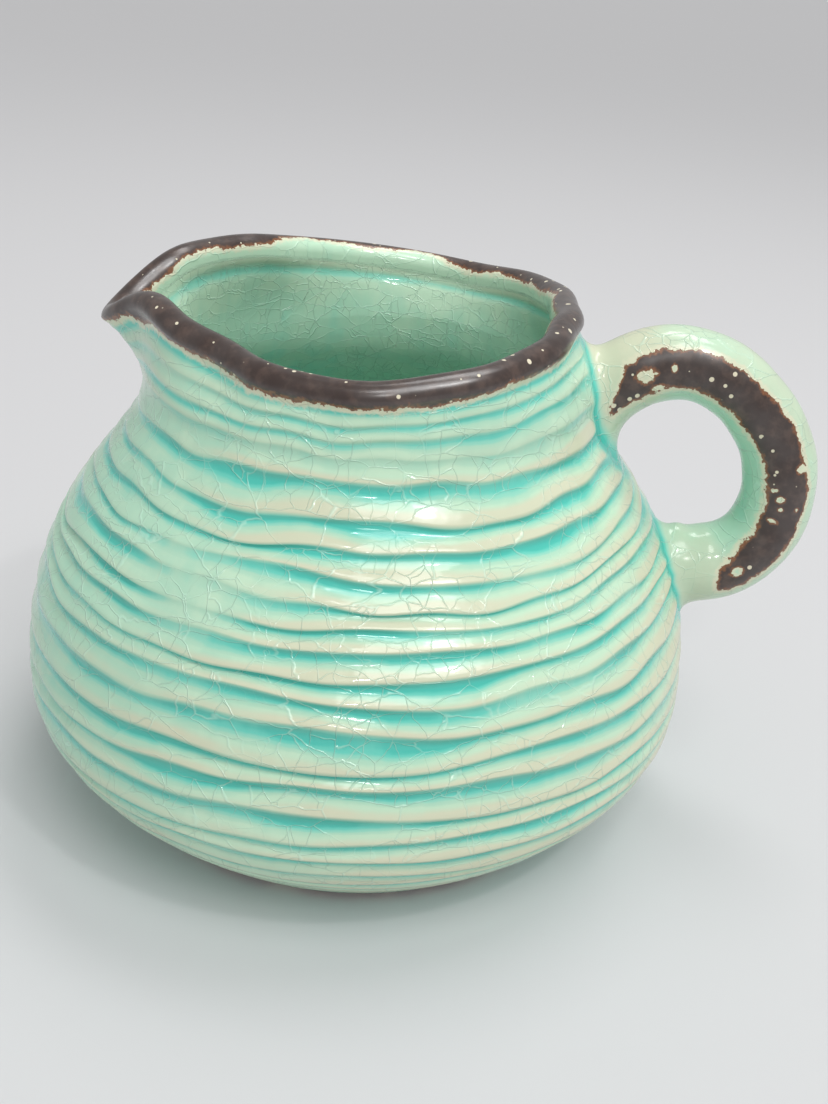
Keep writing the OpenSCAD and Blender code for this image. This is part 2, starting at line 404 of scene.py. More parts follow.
# Inside of the belly, down to the floor
mark("belly_in")
FILLET = 9.0
wall_low = FLOOR_T + FILLET
throwing = waver(ANGLE, 1, 3, 0.25)
for s in np.linspace(0, 1, 26)[:-1]:
    z = edges[THROAT_EDGE] + (wall_low - edges[THROAT_EDGE]) * s
    ripple = 0.28 * math.sin(s * 52) * smooth(0.0, 0.15, s)
    r = inner_r(np.minimum(z, THROAT_Z)) + ripple + throwing * smooth(0.0, 0.3, s)
    add_row(r, z, pool=0.22 + 0.24 * s, inside=1.0)
low_r = inner_r(wall_low)
for turn in np.linspace(0, math.pi / 2, 7):
    r = low_r - FILLET * (1 - math.cos(turn))
    add_row(r, wall_low - (FILLET - 0.02) * math.sin(turn), pool=0.46, inside=1.0)
mark("floor")
for share in [0.98, 0.9, 0.75, 0.55, 0.3, 0.1, 0.0]:
    add_row((low_r - FILLET) * share, FLOOR_T, pool=0.46, inside=1.0)
mark("end")

body = {name: np.array(values) for name, values in rows.items()}
points = np.stack([body["r"] * np.cos(ANGLE), body["r"] * np.sin(ANGLE), body["z"]], -1)


def grid_normals(p):
    """Normals of a grid of points whose rows are closed rings, smooth across the whole grid."""
    along = np.gradient(p, axis=0)
    across = np.roll(p, -1, 1) - np.roll(p, 1, 1)
    n = np.cross(across, along)
    size = np.linalg.norm(n, axis=2, keepdims=True)
    return n / np.maximum(size, 1e-9)


normals = grid_normals(points)
normals[0] = (0, 0, -1)
normals[-1] = (0, 0, 1)


# ---- Making pieces ----

def new_piece(name, coords, faces, loop_normals, values, material, node):
    """One named mesh with its own shading normals and glaze values, standing for a CAD node."""
    mesh = bpy.data.meshes.new(name)
    mesh.from_pydata((np.asarray(coords) * MM).tolist(), [], faces)
    mesh.polygons.foreach_set("use_smooth", [True] * len(faces))
    for key, value in values.items():
        data = mesh.attributes.new(key, "FLOAT", "POINT")
        data.data.foreach_set("value", np.asarray(value, np.float32))
    mesh.normals_split_custom_set(loop_normals)
    mesh.materials.append(material)
    mesh.validate()
    piece = bpy.data.objects.new(name, mesh)
    bpy.context.scene.collection.objects.link(piece)
    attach(piece, "root")
    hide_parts(node)
    return piece


def body_piece(name, outside, inside, material, node, slot, columns=None):
    """Piece of the body between rows of its outside and rows of its inside, closed all round."""
    ranges = [np.arange(a, b + 1) for a, b in (outside, inside) if b > a]
    section = np.concatenate(ranges)
    gap_after = {len(ranges[0]) - 1, len(section) - 1}
    on_axis = np.all(body["r"][section] == 0, axis=1)
    whole = columns is None
    cols = np.arange(COLUMNS) if whole else np.arange(columns[0], columns[1] + 1) % COLUMNS
    p = points[section][:, cols]
    n = normals[section][:, cols]
    rows_n, cols_n = p.shape[:2]
    index = np.arange(rows_n * cols_n).reshape(rows_n, cols_n)
    faces = []
    face_normals = []
    row_pairs = [(i, (i + 1) % rows_n) for i in range(rows_n)]
    col_pairs = [(j, (j + 1) % cols_n) for j in range(cols_n if whole else cols_n - 1)]
    for i, i2 in row_pairs:
        if on_axis[i] and on_axis[i2]:
            continue
        hidden = i in gap_after
        for j, j2 in col_pairs:
            corners = [(i, j), (i, j2), (i2, j2), (i2, j)]
            if on_axis[i]:
                corners = [(i, 0), (i2, j2), (i2, j)]
            elif on_axis[i2]:
                corners = [(i, j), (i, j2), (i2, 0)]
            faces.append([int(index[c]) for c in corners])
            if hidden:
                a, b, c = (p[corners[0]], p[corners[1]], p[corners[2]])
                flat = np.cross(b - a, c - a)
                flat = flat / max(np.linalg.norm(flat), 1e-9)
                face_normals.extend([flat.tolist()] * len(corners))
            else:
                face_normals.extend([n[c].tolist() for c in corners])
    if not whole:
        for j, turn in ((0, 1), (cols_n - 1, -1)):
            rim = [int(index[i, j]) for i in range(rows_n)][::turn]
            faces.append(rim)
            a = ANGLE[cols[j]]
            flat = np.array([math.sin(a), -math.cos(a), 0]) * turn
            face_normals.extend([flat.tolist()] * rows_n)
    values = {key: body[key][section][:, cols].ravel() for key in GLAZE_VALUES}
    coords = p.reshape(-1, 3)
    used = np.unique(np.concatenate([np.array(f) for f in faces]))
    place = np.full(len(coords), -1)
    place[used] = np.arange(len(used))
    faces = [[int(place[v]) for v in f] for f in faces]
    values = {key: value[used] for key, value in values.items()}
    return new_piece(name, coords[used], faces, face_normals, values, material, node)


# ---- Handle ----

# Ways away from the pitcher, across the handle and up
out_way = np.array([math.cos(HANDLE_TURN), math.sin(HANDLE_TURN), 0.0])
near_way = np.array([math.sin(HANDLE_TURN), -math.cos(HANDLE_TURN), 0.0])
up_way = np.array([0.0, 0.0, 1.0])
HOLE = (69.4, 81.9)
GRIP_R = 7.95
SIDES = 72
SIDE = 2 * math.pi * np.arange(SIDES) / SIDES
SIDE_DEG = np.degrees(SIDE)


def handle_centre(turn):
    """Middle of the handle's section, outwards and up, at an angle around the finger hole."""
    r = 21.2 + 0.45 * np.sin(turn) - np.cos(2 * turn) - 3.1 * np.sin(2 * turn)
    r = r - 0.2 * np.cos(3 * turn) + 0.55 * np.sin(3 * turn)
    return np.stack([HOLE[0] + r * np.cos(turn), HOLE[1] + r * np.sin(turn)], -1)


def handle_rings(turns):
    """Rings of points around the handle at each angle around the finger hole."""
    middle = handle_centre(turns)
    ahead = handle_centre(turns + 1e-4) - handle_centre(turns - 1e-4)
    ahead = ahead / np.linalg.norm(ahead, axis=1)[:, None]
    off_back = (np.degrees(turns) - 25) / 90
    grip = GRIP_R - 0.4 * off_back + 0.64 * (off_back * off_back - 0.5)
    lumps = (
        0.10 * np.sin(3.1 * turns[:, None] + 1.0) * np.cos(2 * SIDE)
        + 0.12 * np.sin(5.3 * turns[:, None]) * np.cos(SIDE + 0.7)
        + 0.06 * np.sin(11.0 * turns[:, None] + 2 * SIDE)
    )
    grip = grip[:, None] + lumps
    out = ahead[:, 1:2] * out_way - ahead[:, 0:1] * up_way
    place = middle[:, 0:1] * out_way + middle[:, 1:2] * up_way
    return (
        place[:, None]
        + (grip * np.cos(SIDE))[..., None] * out[:, None]
        + (grip * np.sin(SIDE))[..., None] * near_way
    )


outside_rows = slice(marks["belly"], marks["lip"])
edge_heights = body["z"][outside_rows]
edge_radii = body["r"][outside_rows]
ROOT_STEPS = 26
ROOT_TOP = 109.6
BURIED = 0.25


def wall_point(across, z):
    """Point on the wall under the ribs, across from the handle's plane and up."""
    angle = np.full(np.shape(z), HANDLE_TURN)
    r = np.full(np.shape(z), 60.0)
    for _ in range(6):
        angle = HANDLE_TURN - np.arcsin(np.clip(across / r, -0.9, 0.9))
        column = (angle / (2 * math.pi) * COLUMNS) % COLUMNS
        r = np.array([
            np.interp(zz, edge_heights[:, int(cc) % COLUMNS], edge_radii[:, int(cc) % COLUMNS])
            for zz, cc in zip(z, column, strict=True)
        ])
    r = r - BURIED
    return np.stack([r * np.cos(angle), r * np.sin(angle), z], -1)


def root_rings(end_turn, root, way):
    """Rings from the handle's end down onto the wall, flaring like clay smoothed with a finger."""
    start = handle_rings(np.array([end_turn]))[0]
    before = handle_rings(np.array([end_turn - way * 0.03]))[0]
    aim = (start - before).mean(0)
    aim = aim / np.linalg.norm(aim)
    across = root["half_width"] * np.sin(SIDE)
    height = root["z"] + way * root["half_height"] * np.cos(SIDE)
    height = np.minimum(height, ROOT_TOP)
    landing = wall_point(across, height)
    inner = wall_point(across * 0.66, root["z"] + (height - root["z"]) * 0.66)
    reach = np.linalg.norm(landing - start, axis=1)[:, None]
    first = start + aim * reach * 0.42
    second = inner * 0.72 + (start + aim * reach * 0.55) * 0.28
    t = np.linspace(0, 1, ROOT_STEPS)[:, None, None]
    ring = bezier((start, first, second, landing), t)
    share = t[:, :, 0]
    knuckle = np.exp(-((share - 0.42) / 0.16) ** 2) * np.exp(-((SIDE_DEG - 180) / 24) ** 2)
    ring = ring - way * root["knuckle"] * knuckle[..., None] * up_way
    return ring, share


UPPER_END = math.radians(127)
LOWER_END = math.radians(-70)
handle_turns = np.linspace(LOWER_END, UPPER_END, 190)
grip_rings = handle_rings(handle_turns)
upper_rings, upper_share = root_rings(UPPER_END, ROOTS[0], 1)
lower_rings, lower_share = root_rings(LOWER_END, ROOTS[1], -1)
whole_handle = np.concatenate([lower_rings[::-1][:-1], grip_rings, upper_rings[1:]])
handle_normals = -grid_normals(whole_handle)
ring_n = len(whole_handle)
ring_turn = np.concatenate([
    math.degrees(LOWER_END) - 32 * lower_share[::-1, 0][:-1],
    np.degrees(handle_turns),
    math.degrees(UPPER_END) + 26 * upper_share[1:, 0],
])

# Brown stripe along the near outer side of the handle
stripe_middle = np.interp(
    ring_turn,
    [-70, -45, 0, 60, 95, 114, 128, 139],
    [80, 92, 87, 92, 84, 85, 90, 108],
)
stripe_half = np.interp(
    ring_turn,
    [-72, -64, -50, 0, 40, 90, 114, 128, 135, 141],
    [2, 20, 29, 33, 33, 31, 32, 29, 16, 4],
)
off_middle = (SIDE_DEG - stripe_middle[:, None] + 180) % 360 - 180
stripe = (stripe_half[:, None] - np.abs(off_middle)) * math.radians(8.0)
ends = np.minimum(ring_turn + 68.0, 140.0 - ring_turn)[:, None] * math.radians(24.0)
stripe = np.minimum(stripe, ends)

# Chips in the stripe: angle around the hole, angle around the grip, half length, half width
CHIPS = [
    (121.0, 87, 1.4, 1.5),
    (117.0, 111, 1.5, 0.8),
    (108.0, 82, 0.5, 0.8),
    (-57.0, 88, 1.2, 0.9),
    (9.0, 62, 0.9, 1.1),
    (-8.0, 98, 0.7, 0.8),
    (-14.0, 96, 0.5, 0.5),
    (-22.0, 104, 0.7, 0.9),
    (-14.0, 70, 0.5, 0.5),
    (-2.0, 108, 0.5, 0.6),
]
for turn_at, side_at, long, wide in CHIPS:
    along_off = (ring_turn[:, None] - turn_at) * 0.42 / long
    across_off = (SIDE_DEG - side_at) * 0.14 / wide
    stripe = np.minimum(stripe, (np.hypot(along_off, across_off) - 1) * 1.5)
crease = np.zeros((ring_n, SIDES))
crease[:ROOT_STEPS] = smooth(0.66, 1.0, lower_share[::-1])
crease[-ROOT_STEPS:] = smooth(0.58, 1.0, upper_share)

# Glaze pools in the crease along each root's rim, and is thin near the roots
by_root = smooth(100, 125, ring_turn) + 1 - smooth(-74, -46, ring_turn)
thin_glaze = 0.32 + 0.16 * np.cos(SIDE) + 0.34 * by_root[:, None]
handle_values = {
    "pool": np.clip(crease + 0.10 - 0.14 * np.cos(SIDE), 0, 1),
    "crest": np.clip(thin_glaze * (1 - crease), 0, 1),
    "worn": stripe,
    "bare": np.zeros((ring_n, SIDES)),
    "shade": np.zeros((ring_n, SIDES)),
    "inside": np.zeros((ring_n, SIDES)),
}


def handle_piece(name, first, last, material, node):
    """Length of the handle between two rings, closed at both ends."""
    p = whole_handle[first:last + 1]
    n = handle_normals[first:last + 1]
    count = len(p)
    index = np.arange(count * SIDES).reshape(count, SIDES)
    faces = []
    face_normals = []
    for i in range(count - 1):
        for j in range(SIDES):
            j2 = (j + 1) % SIDES
            corners = [(i, j), (i + 1, j), (i + 1, j2), (i, j2)]
            faces.append([int(index[c]) for c in corners])
            face_normals.extend([n[c].tolist() for c in corners])
    for i, turn in ((0, 1), (count - 1, -1)):
        rim = [int(v) for v in index[i]][::turn]
        ring = p[i]
        flat = np.cross(ring[18] - ring[0], ring[36] - ring[18]) * turn
        flat = flat / np.linalg.norm(flat)
        faces.append(rim)
        face_normals.extend([flat.tolist()] * SIDES)
    values = {key: value[first:last + 1].ravel() for key, value in handle_values.items()}
    return new_piece(name, p.reshape(-1, 3), faces, face_normals, values, material, node)


# ---- Glaze effects shared by the materials ----

def group(name, inputs, outputs):
    """Empty node group with named sockets."""
    made = bpy.data.node_groups.new(name, "ShaderNodeTree")
    for label, kind, value in inputs:
        socket = made.interface.new_socket(label, in_out="INPUT", socket_type=kind)
        if value is not None:
            socket.default_value = value
    for label, kind in outputs:
        made.interface.new_socket(label, in_out="OUTPUT", socket_type=kind)
    return made, made.nodes.new("NodeGroupInput"), made.nodes.new("NodeGroupOutput")


def feed(tree, value, socket):
    """Link an output into a socket, or set the socket to a plain value."""
    if isinstance(value, (int, float, tuple)):
        socket.default_value = value
    else:
        tree.links.new(value, socket)


def math_node(tree, what, a, b, clamp=False):
    """Math node on links or numbers, giving its output."""
    made = tree.nodes.new("ShaderNodeMath")
    made.operation = what
    made.use_clamp = clamp
    feed(tree, a, made.inputs[0])
    feed(tree, b, made.inputs[1])
    return made.outputs[0]


def swing(tree, value, size):
    """A value from 0 to 1 turned into one from minus half the size to plus half of it."""
    made = math_node(tree, "MULTIPLY_ADD", value, size).node
    made.inputs[2].default_value = -size / 2
    return made.outputs[0]


def mix_value(tree, share, a, b):
    """Number between two others, by a share from 0 to 1."""
    made = tree.nodes.new("ShaderNodeMix")
    feed(tree, share, made.inputs["Factor"])
    feed(tree, a, made.inputs[2])
    feed(tree, b, made.inputs[3])
    return made.outputs[0]


def span(tree, value, low, high, to_low=0.0, to_high=1.0):
    """Smooth ramp of a value from one range to another."""
    made = tree.nodes.new("ShaderNodeMapRange")
    made.interpolation_type = "SMOOTHSTEP"
    feed(tree, value, made.inputs["Value"])
    feed(tree, low, made.inputs["From Min"])
    feed(tree, high, made.inputs["From Max"])
    feed(tree, to_low, made.inputs["To Min"])
    feed(tree, to_high, made.inputs["To Max"])
    return made.outputs["Result"]


def noise(tree, vector, scale, detail=2.0, roughness=0.5):
    """Soft noise as a number and as a colour."""
    made = tree.nodes.new("ShaderNodeTexNoise")
    tree.links.new(vector, made.inputs["Vector"])
    made.inputs["Scale"].default_value = scale
    made.inputs["Detail"].default_value = detail
    made.inputs["Roughness"].default_value = roughness
    return made.outputs["Fac"], made.outputs["Color"]


def blend(tree, share, a, b):
    """Colour mix, of links or of colours."""
    made = tree.nodes.new("ShaderNodeMix")
    made.data_type = "RGBA"
    feed(tree, share, made.inputs["Factor"])
    feed(tree, a, made.inputs[6])
    feed(tree, b, made.inputs[7])
    return made.outputs[2]


def moved(tree, vector, stretch, shift=(0, 0, 0)):
    """Vector stretched and shifted, so that a pattern gets longer one way."""
    made = tree.nodes.new("ShaderNodeMapping")
    made.inputs["Scale"].default_value = stretch
    made.inputs["Location"].default_value = shift
    tree.links.new(vector, made.inputs["Vector"])
    return made.outputs["Vector"]


def bent(tree, vector, scale, amount):
    """Vector pushed about by noise, so that straight lines wander."""
    _, colour = noise(tree, vector, scale, 1.5)
    centred = tree.nodes.new("ShaderNodeVectorMath")
    centred.operation = "SUBTRACT"
    tree.links.new(colour, centred.inputs[0])
    centred.inputs[1].default_value = (0.5, 0.5, 0.5)
    pushed = tree.nodes.new("ShaderNodeVectorMath")
    pushed.operation = "MULTIPLY_ADD"
    tree.links.new(centred.outputs[0], pushed.inputs[0])
    pushed.inputs[1].default_value = (amount, amount, amount)
    tree.links.new(vector, pushed.inputs[2])
    return pushed.outputs[0]


def cracks(tree, vector, scale, width):
    """Thin lines between angular cells, 1 on the line."""
    made = tree.nodes.new("ShaderNodeTexVoronoi")
    made.feature = "DISTANCE_TO_EDGE"
    made.inputs["Scale"].default_value = scale
    tree.links.new(vector, made.inputs["Vector"])
    return span(tree, made.outputs["Distance"], 0.0, width, 1.0, 0.0)


def make_crackle():
    """Net of fine raised lines in the glaze: long cells, with shorter cracks across some of them."""
    tree, given, gives = group(
        "glaze crackle",
        [
            ("Vector", "NodeSocketVector", None),
            ("Amount", "NodeSocketFloat", 1.0),
            ("Inside", "NodeSocketFloat", 0.0),
        ],
        [("Lines", "NodeSocketFloat"), ("Tone", "NodeSocketFloat")],
    )
    finer = tree.nodes.new("ShaderNodeVectorMath")
    finer.operation = "SCALE"
    tree.links.new(given.outputs["Vector"], finer.inputs[0])
    tree.links.new(span(tree, given.outputs["Inside"], 0.0, 1.0, 1.0, 1.6), finer.inputs["Scale"])
    place = finer.outputs["Vector"]
    warped = bent(tree, place, 330.0, 0.0014)
    wide = moved(tree, warped, (0.72, 0.72, 1.75))
    cells = tree.nodes.new("ShaderNodeTexVoronoi")
    cells.inputs["Scale"].default_value = 125.0
    tree.links.new(wide, cells.inputs["Vector"])
    split = tree.nodes.new("ShaderNodeSeparateColor")
    tree.links.new(cells.outputs["Color"], split.inputs[0])
    long_cracks = cracks(tree, wide, 125.0, 0.026)
    cross_cracks = cracks(tree, moved(tree, warped, (1.45, 1.45, 0.80), (0.3, 0.1, 0.7)), 170.0, 0.030)
    some = span(tree, split.outputs[1], 0.35, 0.40)
    both = math_node(tree, "MAXIMUM", long_cracks, math_node(tree, "MULTIPLY", cross_cracks, some))
    patchy, _ = noise(tree, place, 90.0, 2.0)
    strength = span(tree, patchy, 0.36, 0.54, 0.35, 1.0)
    lines = math_node(tree, "MULTIPLY", both, strength)
    lines = math_node(tree, "MULTIPLY", lines, given.outputs["Amount"])
    tree.links.new(lines, gives.inputs["Lines"])
    tree.links.new(split.outputs[0], gives.inputs["Tone"])
    return tree


# Turquoise glaze from thin to thick, and the tints laid over it
GLAZE_STOPS = [
    (0.00, (0.53, 0.74, 0.55, 1)),
    (0.22, (0.43, 0.69, 0.52, 1)),
    (0.50, (0.28, 0.66, 0.52, 1)),
    (0.78, (0.14, 0.61, 0.50, 1)),
    (1.00, (0.075, 0.53, 0.44, 1)),
]
CREAM = (0.64, 0.64, 0.47, 1)
# Painted shade, darkening the glaze just under each rib's edge
PAINTED_RIB_SHADE = (0.22, 0.30, 0.20, 1)
CRACK = (0.54, 0.80, 0.65, 1)

# Worn edge and bare clay
DARK_BROWN = (0.035, 0.020, 0.016, 1)
LIGHT_BROWN = (0.074, 0.045, 0.035, 1)
RUST = (0.26, 0.095, 0.030, 1)
FRINGE = (0.72, 0.70, 0.52, 1)
PINHOLE = (0.72, 0.66, 0.50, 1)
DARK_CLAY = (0.40, 0.30, 0.21, 1)
LIGHT_CLAY = (0.60, 0.50, 0.38, 1)


def make_pooling():
    """Colour of the turquoise glaze: cream where it is thin, teal where it ran together, with painted
    shade under the ribs.
    """
    tree, given, gives = group(
        "pooled glaze",
        [
            ("Vector", "NodeSocketVector", None),
            ("Pool", "NodeSocketFloat", 0.0),
            ("Crest", "NodeSocketFloat", 0.0),
            ("Shade", "NodeSocketFloat", 0.0),
            ("Lines", "NodeSocketFloat", 0.0),
            ("Tone", "NodeSocketFloat", 0.5),
        ],
        [("Color", "NodeSocketColor"), ("Thickness", "NodeSocketFloat")],
    )
    place = given.outputs["Vector"]
    cloud, _ = noise(tree, place, 26.0, 3.0)
    streak, _ = noise(tree, moved(tree, place, (1.0, 1.0, 0.35)), 240.0, 2.0)
    tone = swing(tree, given.outputs["Tone"], 0.10)
    drift = swing(tree, cloud, 0.55)
    ragged = swing(tree, streak, 0.40)
    level = math_node(tree, "ADD", given.outputs["Pool"], math_node(tree, "ADD", tone, drift))
    level = math_node(tree, "ADD", level, ragged, clamp=True)
    ramp = tree.nodes.new("ShaderNodeValToRGB")
    ramp.color_ramp.interpolation = "EASE"
    stops = ramp.color_ramp.elements
    stops[0].color = GLAZE_STOPS[0][1]
    stops[1].color = GLAZE_STOPS[-1][1]
    for thickness, colour in GLAZE_STOPS[1:-1]:
        stops.new(thickness).color = colour
    tree.links.new(level, ramp.inputs["Fac"])
    crest = math_node(tree, "MULTIPLY", given.outputs["Crest"], span(tree, cloud, 0.36, 0.60, 0.62, 1.05))
    crest = math_node(tree, "ADD", crest, math_node(tree, "MULTIPLY", ragged, 0.9))
    creamed = math_node(tree, "MULTIPLY", span(tree, crest, 0.12, 0.88), 0.9)
    colour = blend(tree, creamed, ramp.outputs["Color"], CREAM)
    # Painted shade under each rib's edge, laid into the colour
    painted_shade = math_node(tree, "MULTIPLY", given.outputs["Shade"], 0.36, clamp=True)
    colour = blend(tree, painted_shade, colour, PAINTED_RIB_SHADE)
    pale = math_node(tree, "MULTIPLY", given.outputs["Lines"], 0.42)
    colour = blend(tree, pale, colour, CRACK)
    tree.links.new(colour, gives.inputs["Color"])
    tree.links.new(level, gives.inputs["Thickness"])
    return tree


def make_worn_edge():
    """Dark brown edge with a ragged border, rust at its rim, a cream fringe and pinholes."""
    tree, given, gives = group(
        "worn brown edge",
        [
            ("Vector", "NodeSocketVector", None),
            ("Worn", "NodeSocketFloat", -9.0),
            ("Glaze", "NodeSocketColor", (0.4, 0.7, 0.6, 1)),
        ],
        [("Color", "NodeSocketColor"), ("Brown", "NodeSocketFloat"), ("Fleck", "NodeSocketFloat")],
    )
    place = given.outputs["Vector"]
    coarse, _ = noise(tree, place, 210.0, 2.0, 0.6)
    fine, _ = noise(tree, place, 900.0, 2.0, 0.7)
    jagged = math_node(tree, "ADD", swing(tree, coarse, 2.4), swing(tree, fine, 2.2))
    depth = math_node(tree, "ADD", given.outputs["Worn"], jagged)
    brown = span(tree, depth, -0.06, 0.10)
    fringe = math_node(tree, "MULTIPLY", span(tree, depth, -1.5, -0.35), 0.85)
    rusty = math_node(tree, "MULTIPLY", span(tree, depth, 0.10, 0.95, 1.0, 0.0), 0.85)
    small = tree.nodes.new("ShaderNodeTexVoronoi")
    small.inputs["Scale"].default_value = 640.0
    tree.links.new(place, small.inputs["Vector"])
    split = tree.nodes.new("ShaderNodeSeparateColor")
    tree.links.new(small.outputs["Color"], split.inputs[0])
    chosen = span(tree, split.outputs[0], 0.66, 0.90, 0.06, 0.42)
    chosen = math_node(tree, "SUBTRACT", chosen, 0.08)
    crowd, _ = noise(tree, place, 70.0, 1.0)
    chosen = math_node(tree, "MULTIPLY", chosen, span(tree, crowd, 0.40, 0.60, 0.30, 1.15))
    speck = span(tree, math_node(tree, "SUBTRACT", chosen, small.outputs["Distance"]), 0.0, 0.05)
    speck = math_node(tree, "MULTIPLY", speck, brown)
    mottle, _ = noise(tree, place, 320.0, 3.0, 0.6)
    dark = blend(tree, span(tree, mottle, 0.42, 0.70), DARK_BROWN, LIGHT_BROWN)
    dark = blend(tree, rusty, dark, RUST)
    cream = blend(tree, fringe, given.outputs["Glaze"], FRINGE)
    both = blend(tree, brown, cream, dark)
    tree.links.new(blend(tree, speck, both, PINHOLE), gives.inputs["Color"])
    tree.links.new(brown, gives.inputs["Brown"])
    tree.links.new(speck, gives.inputs["Fleck"])
    return tree


def make_skin():
    """Gloss and relief of the fired glaze: raised cracks, ripples, pits and the drier brown edge."""
    tree, given, gives = group(
        "glaze skin",
        [
            ("Vector", "NodeSocketVector", None),
            ("Lines", "NodeSocketFloat", 0.0),
            ("Brown", "NodeSocketFloat", 0.0),
            ("Fleck", "NodeSocketFloat", 0.0),
            ("Gloss", "NodeSocketFloat", 0.1),
            ("Brown Gloss", "NodeSocketFloat", 0.35),
        ],
        [("Roughness", "NodeSocketFloat"), ("Height", "NodeSocketFloat"), ("Coat", "NodeSocketFloat")],
    )
    place = given.outputs["Vector"]
    brown = given.outputs["Brown"]
    grime, _ = noise(tree, place, 180.0, 2.0)
    dull = math_node(tree, "ADD", given.outputs["Gloss"], 0.10)
    satin = span(tree, grime, 0.35, 0.70, given.outputs["Gloss"], dull)
    rough = mix_value(tree, brown, satin, given.outputs["Brown Gloss"])
    ripple, _ = noise(tree, place, 130.0, 2.0)
    pits, _ = noise(tree, place, 700.0, 2.0)
    glazed_share = math_node(tree, "SUBTRACT", 1.0, brown)
    raised = math_node(tree, "MULTIPLY", given.outputs["Lines"], glazed_share)
    raised = math_node(tree, "MULTIPLY", raised, 0.11)
    height = math_node(tree, "ADD", raised, math_node(tree, "MULTIPLY", ripple, 0.25))
    height = math_node(tree, "ADD", height, math_node(tree, "MULTIPLY", pits, 0.012))
    height = math_node(tree, "SUBTRACT", height, math_node(tree, "MULTIPLY", brown, 0.12))
    height = math_node(tree, "SUBTRACT", height, math_node(tree, "MULTIPLY", given.outputs["Fleck"], 0.10))
    coat = math_node(tree, "SUBTRACT", brown, given.outputs["Fleck"], clamp=True)
    coat = math_node(tree, "MULTIPLY", coat, span(tree, grime, 0.30, 0.65, 0.20, 0.48))
    tree.links.new(rough, gives.inputs["Roughness"])
    tree.links.new(height, gives.inputs["Height"])
    tree.links.new(coat, gives.inputs["Coat"])
    return tree


crackle = make_crackle()
pooling = make_pooling()
worn_edge = make_worn_edge()
skin = make_skin()


def placed(tree, made, **links):
    """A shared effect placed in a material, with its inputs linked or set."""
    node = tree.nodes.new("ShaderNodeGroup")
    node.node_tree = made
    for label, value in links.items():
        feed(tree, value, node.inputs[label])
    return node


def reading(tree, name):
    """One of the glaze values stored on the mesh."""
    node = tree.nodes.new("ShaderNodeAttribute")
    node.attribute_name = name
    return node.outputs["Fac"]


def glazed(name, crackle_amount, gloss, brown_gloss):
    """Crackled turquoise glaze over clay, with the worn brown edge where the piece has one."""
    material = bpy.data.materials.new(name)
    material.use_nodes = True
    tree = material.node_tree
    shader = tree.nodes["Principled BSDF"]
    where = tree.nodes.new("ShaderNodeTexCoord").outputs["Object"]
    net = placed(tree, crackle, Vector=where, Amount=crackle_amount, Inside=reading(tree, "inside"))
    coat = placed(
        tree, pooling, Vector=where, Pool=reading(tree, "pool"), Crest=reading(tree, "crest"),
        Shade=reading(tree, "shade"), Lines=net.outputs["Lines"], Tone=net.outputs["Tone"],
    )
    edge = placed(tree, worn_edge, Vector=where, Worn=reading(tree, "worn"), Glaze=coat.outputs["Color"])
    tree.links.new(edge.outputs["Color"], shader.inputs["Base Color"])
    surface = placed(
        tree, skin, Vector=where, Lines=net.outputs["Lines"], Brown=edge.outputs["Brown"],
        Fleck=edge.outputs["Fleck"], Gloss=gloss,
    )
    surface.inputs["Brown Gloss"].default_value = brown_gloss
    tree.links.new(surface.outputs["Roughness"], shader.inputs["Roughness"])
    tree.links.new(surface.outputs["Coat"], shader.inputs["Coat Weight"])
    shader.inputs["Coat Roughness"].default_value = 0.34
    shader.inputs["Coat IOR"].default_value = 1.8
    relief = tree.nodes.new("ShaderNodeBump")
    relief.inputs["Strength"].default_value = 0.9
    relief.inputs["Distance"].default_value = 0.001
    tree.links.new(surface.outputs["Height"], relief.inputs["Height"])
    tree.links.new(relief.outputs["Normal"], shader.inputs["Normal"])
    shader.inputs["IOR"].default_value = 1.52
    return material


def foot_clay():
    """Bare clay under the foot, and glaze above it."""
    material = glazed("foot clay and glaze", 0.8, 0.12, 0.55)
    tree = material.node_tree
    shader = tree.nodes["Principled BSDF"]
    glaze = shader.inputs["Base Color"].links[0].from_socket
    where = tree.nodes.new("ShaderNodeTexCoord").outputs["Object"]
    bare = span(tree, reading(tree, "bare"), 0.4, 0.6)
    grain, _ = noise(tree, where, 420.0, 4.0, 0.65)
    clay = blend(tree, span(tree, grain, 0.35, 0.68), DARK_CLAY, LIGHT_CLAY)
    tree.links.new(blend(tree, bare, glaze, clay), shader.inputs["Base Color"])
    satin = shader.inputs["Roughness"].links[0].from_socket
    tree.links.new(mix_value(tree, bare, satin, 0.85), shader.inputs["Roughness"])
    return material


wall_glaze = glazed("crackle glaze", 1.0, 0.09, 0.34)
lip_glaze = glazed("worn lip glaze", 0.8, 0.12, 0.25)
handle_glaze = glazed("handle glaze", 0.9, 0.10, 0.38)
foot_finish = foot_clay()


# ---- The pieces ----

m = marks
collar_rows = [(m["collar"], m["lip"]), (m["collar_in"], m["belly_in"])]
body_piece(
    "pitcher_base", (m["under"], m["belly"]), (m["floor"] - 1, m["end"] - 1),
    foot_finish, "base_slab", "foot_clay",
)
body_piece(
    "pitcher_belly", (m["belly"], m["collar"]), (m["belly_in"], m["floor"] - 1),
    wall_glaze, "belly_wall", "crackle_glaze",
)
body_piece(
    "pitcher_collar", *collar_rows, wall_glaze, "collar", "crackle_glaze",
    (SPOUT_TO, SPOUT_FROM + COLUMNS),
)
body_piece(
    "pitcher_spout", *collar_rows, wall_glaze, "spout", "crackle_glaze",
    (SPOUT_FROM, SPOUT_TO),
)
body_piece("pitcher_lip", (m["lip"], m["collar_in"]), (0, 0), lip_glaze, "lip_band", "lip_glaze")
first_grip = ROOT_STEPS - 1
last_grip = first_grip + len(handle_turns) - 1
handle_piece(
    "pitcher_handle", first_grip, last_grip,
    handle_glaze, "handle",
)
handle_piece(
    "handle_root_upper", last_grip, ring_n - 1,
    handle_glaze, "upper_handle_joint",
)
